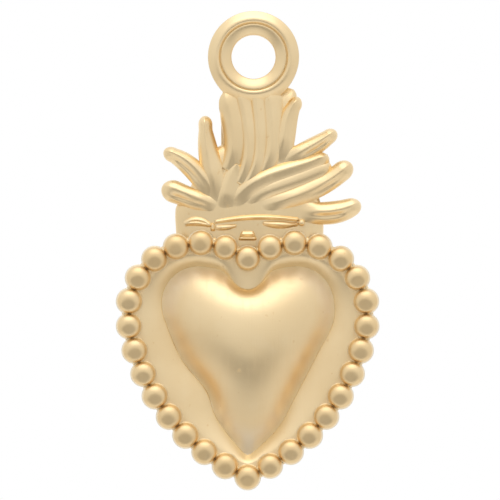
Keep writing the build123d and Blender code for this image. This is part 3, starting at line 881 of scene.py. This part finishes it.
class CHARM_OT_heart(CharmOperator, bpy.types.Operator):
    """Make the heart's dished frame and its raised dome"""

    bl_idname = "charm.heart"
    bl_label = "Heart"

    def execute(self, context):
        sizes = context.scene.charm_heart
        finish = context.scene.charm_gold
        satin = gold("satin_finish", finish)
        # The dome's low flanks, up to 1.1 to 2.0 mm over the back, are painted paler as painted light
        polished = gold("polished_finish", finish, shine=0.02, scratches=1.3, recess=(1.1, 2.0))
        make_piece("frame_look", [frame_grid(sizes)], satin, ["heart_frame"])
        make_piece("dome_look", [dome_grid(sizes)], polished, ["heart_dome"])
        return {"FINISHED"}


class CHARM_OT_beads(CharmOperator, bpy.types.Operator):
    """Make the beads round the rim, each a little different"""

    bl_idname = "charm.beads"
    bl_label = "Beads"

    def execute(self, context):
        spread = context.scene.charm_heart.bead_spread
        finish = context.scene.charm_gold
        # Painted shade: tint draws the beads' whole colour towards the deep gold; low on them it is painted
        # paler
        material = gold(
            "bead_finish_painted_shade", finish, shine=-0.03, grain=0.7, scratches=0.5, tint=0.45, recess=(1.7, 2.2)
        )
        chance = np.random.default_rng(BEAD_SEED)
        for node in BEADS:
            size, squash = (1.0, BEAD_SQUASH) + spread * chance.uniform(*BEAD_CHANCE, 2)
            lean = (0.0, BEAD_LEAN) + chance.uniform(-BEAD_LEAN_SPREAD, BEAD_LEAN_SPREAD, 2)
            low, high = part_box(node)
            grid = bead_grid(low, high, size, squash, lean)
            make_piece(node + "_look", [grid], material, [node])
        return {"FINISHED"}


class CHARM_OT_neck(CharmOperator, bpy.types.Operator):
    """Make the neck with the ground between the flames, and the folds of its ribbon"""

    bl_idname = "charm.neck"
    bl_label = "Neck and ribbon"

    def execute(self, context):
        sizes = context.scene.charm_crest
        satin = gold("satin_finish", context.scene.charm_gold)
        mouth = LOOP_LOW.z - sizes.height
        make_piece("neck_look", [ground_grid(mouth, sizes.ground)], satin, ["crest_base"])
        for number, (node, fold) in enumerate(FOLDS.items()):
            grid = tongue_grid(fold, mouth, mouth, sizes, sizes.fold, number)
            make_piece(node + "_look", [grid], satin, [node])
        dress("ribbon_knob", satin)
        make_piece("tab_look", tab_grids(*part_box("centre_tab")), satin, ["centre_tab"])
        return {"FINISHED"}


class CHARM_OT_flames(CharmOperator, bpy.types.Operator):
    """Make the flames of the crest"""

    bl_idname = "charm.flames"
    bl_label = "Flames"

    def execute(self, context):
        sizes = context.scene.charm_crest
        finish = context.scene.charm_gold
        # The flames' low places, up to 0.6 to 1.4 mm over the back, are painted paler as painted light
        material = gold("flame_finish", finish, shine=0.02, scratches=0.7, recess=(0.6, 1.4))
        mouth = LOOP_LOW.z - sizes.height
        for number, (node, flame) in enumerate({**FLAMES, **COLUMN_FLAMES}.items()):
            tip_datum = LOOP_LOW.z if node in COLUMN_FLAMES else mouth
            grid = tongue_grid(flame, tip_datum, mouth, sizes, sizes.strand, number)
            make_piece(node + "_look", [grid], material, [node])
        return {"FINISHED"}


class CHARM_OT_loop(CharmOperator, bpy.types.Operator):
    """Make the hanging loop with its two rolls, and finish the plate behind the charm"""

    bl_idname = "charm.loop"
    bl_label = "Loop and plate"

    def execute(self, context):
        finish = context.scene.charm_gold
        bright = gold("loop_finish", finish, shine=0.03, scratches=0.6)
        brushed = gold("brushed_finish", finish, shine=-0.06, scratches=2.0, tint=0.25)
        grid = loop_grid(context.scene.charm_crest)
        make_piece("loop_look", [grid], bright, ["hanging_loop"])
        dress("back_plate", brushed)
        return {"FINISHED"}


class CHARM_OT_stage(CharmOperator, bpy.types.Operator):
    """Make the pale floor, the soft light and the camera"""

    bl_idname = "charm.stage"
    bl_label = "Stage"

    def execute(self, context):
        scene = context.scene
        sizes = scene.charm_stage
        scene.view_settings.view_transform = "Standard"
        self.floor(sizes)
        self.light(scene)
        self.camera(scene, sizes)
        return {"FINISHED"}

    def floor(self, sizes):
        """A round pale floor well below the hanging charm."""
        angle = np.linspace(0, 2 * np.pi, FLOOR_SIDES + 1)[:-1]
        height = np.full_like(angle, FLOOR_HEIGHT)
        points = np.stack([FLOOR_RADIUS * np.cos(angle), FLOOR_RADIUS * np.sin(angle), height], axis=-1)
        mesh = bpy.data.meshes.new("floor")
        mesh.from_pydata(points.tolist(), [], [list(range(len(points)))])
        material = bpy.data.materials.new("pale_floor")
        material.use_nodes = True
        shader = material.node_tree.nodes["Principled BSDF"]
        shader.inputs["Base Color"].default_value = (*sizes.floor, 1.0)
        shader.inputs["Roughness"].default_value = FLOOR_ROUGHNESS
        mesh.materials.append(material)
        floor = bpy.data.objects.new("floor", mesh)
        bpy.context.scene.collection.objects.link(floor)

    def light(self, scene):
        """A soft surround: bright overhead, pale all round, dim in front and below, white behind the charm,
        and one soft lamp above."""
        world = bpy.data.worlds.new("soft_surround")
        world.use_nodes = True
        scene.world = world
        tree = world.node_tree
        tree.nodes.clear()
        wire = Wire(tree)
        place = wire.node("ShaderNodeTexCoord", None, None, output="Generated")
        depth = wire.node("ShaderNodeSeparateXYZ", None, {0: place}, output="Y")
        height = wire.node("ShaderNodeSeparateXYZ", None, {0: place}, output="Z")
        shade = wire.node("ShaderNodeValToRGB", {"stops": SURROUND}, {0: height * 0.5 + 0.5})
        across = wire.node("ShaderNodeSeparateXYZ", None, {0: place}, output="X")
        aside = (across + DIM_ASIDE) * DIM_SQUEEZE
        below = height + DIM_BELOW
        away = aside * aside + below * below
        shade = blended(wire, band(wire, away, DIM_REACH, 0.0), shade, DIM_SHADE)
        shade = blended(wire, band(wire, depth, WHITE_FROM, WHITE_FULL), shade, WHITE)
        background = wire.node("ShaderNodeBackground", None, {"Color": shade, "Strength": 1.0})
        wire.node("ShaderNodeOutputWorld", None, {"Surface": background})
        lamp = bpy.data.lights.new("top_light", "AREA")
        lamp.shape = "DISK"
        lamp.size = LAMP_SIZE
        lamp.energy = LAMP_ENERGY
        light = bpy.data.objects.new("top_light", lamp)
        light.location = LAMP_PLACE
        towards = Vector((0, 0, 0)) - light.location
        light.rotation_euler = towards.to_track_quat("-Z", "Y").to_euler()
        scene.collection.objects.link(light)

    def camera(self, scene, sizes):
        """A long lens straight in front of the charm, with the whole picture as tall as the size set."""
        data = bpy.data.cameras.new("camera")
        data.lens = data.sensor_width * sizes.distance / sizes.picture
        camera = bpy.data.objects.new("camera", data)
        camera.location = (CAMERA_X, -sizes.distance, CAMERA_Z)
        camera.rotation_euler = (radians(90), 0, 0)
        scene.collection.objects.link(camera)
        scene.camera = camera


class CHARM_PT_panel(bpy.types.Panel):
    """The charm's steps and sizes"""

    bl_idname = "CHARM_PT_panel"
    bl_label = "Flaming heart charm"
    bl_space_type = "VIEW_3D"
    bl_region_type = "UI"
    bl_category = "Charm"

    def draw(self, context):
        for operator in OPERATORS:
            self.layout.operator(operator.bl_idname)
        for holder in GROUPS:
            group = getattr(context.scene, holder)
            for name in group.__annotations__:
                self.layout.prop(group, name)


OPERATORS = (CHARM_OT_heart, CHARM_OT_beads, CHARM_OT_neck, CHARM_OT_flames, CHARM_OT_loop, CHARM_OT_stage)
GROUPS = {
    "charm_heart": CharmHeart,
    "charm_crest": CharmCrest,
    "charm_gold": CharmGold,
    "charm_stage": CharmStage,
}


def register():
    """Registers the sizes, the operators and the panel."""
    for group in GROUPS.values():
        bpy.utils.register_class(group)
    for holder, group in GROUPS.items():
        setattr(bpy.types.Scene, holder, PointerProperty(type=group))
    for operator in OPERATORS:
        bpy.utils.register_class(operator)
    bpy.utils.register_class(CHARM_PT_panel)


def unregister():
    """Takes back what register() did."""
    bpy.utils.unregister_class(CHARM_PT_panel)
    for operator in reversed(OPERATORS):
        bpy.utils.unregister_class(operator)
    for holder in GROUPS:
        delattr(bpy.types.Scene, holder)
    for group in reversed(GROUPS.values()):
        bpy.utils.unregister_class(group)


def main():
    """Makes the charm's looks and its stage."""
    register()
    bpy.ops.charm.heart()
    bpy.ops.charm.beads()
    bpy.ops.charm.neck()
    bpy.ops.charm.flames()
    bpy.ops.charm.loop()
    bpy.ops.charm.stage()


if __name__ == "__main__":
    main()
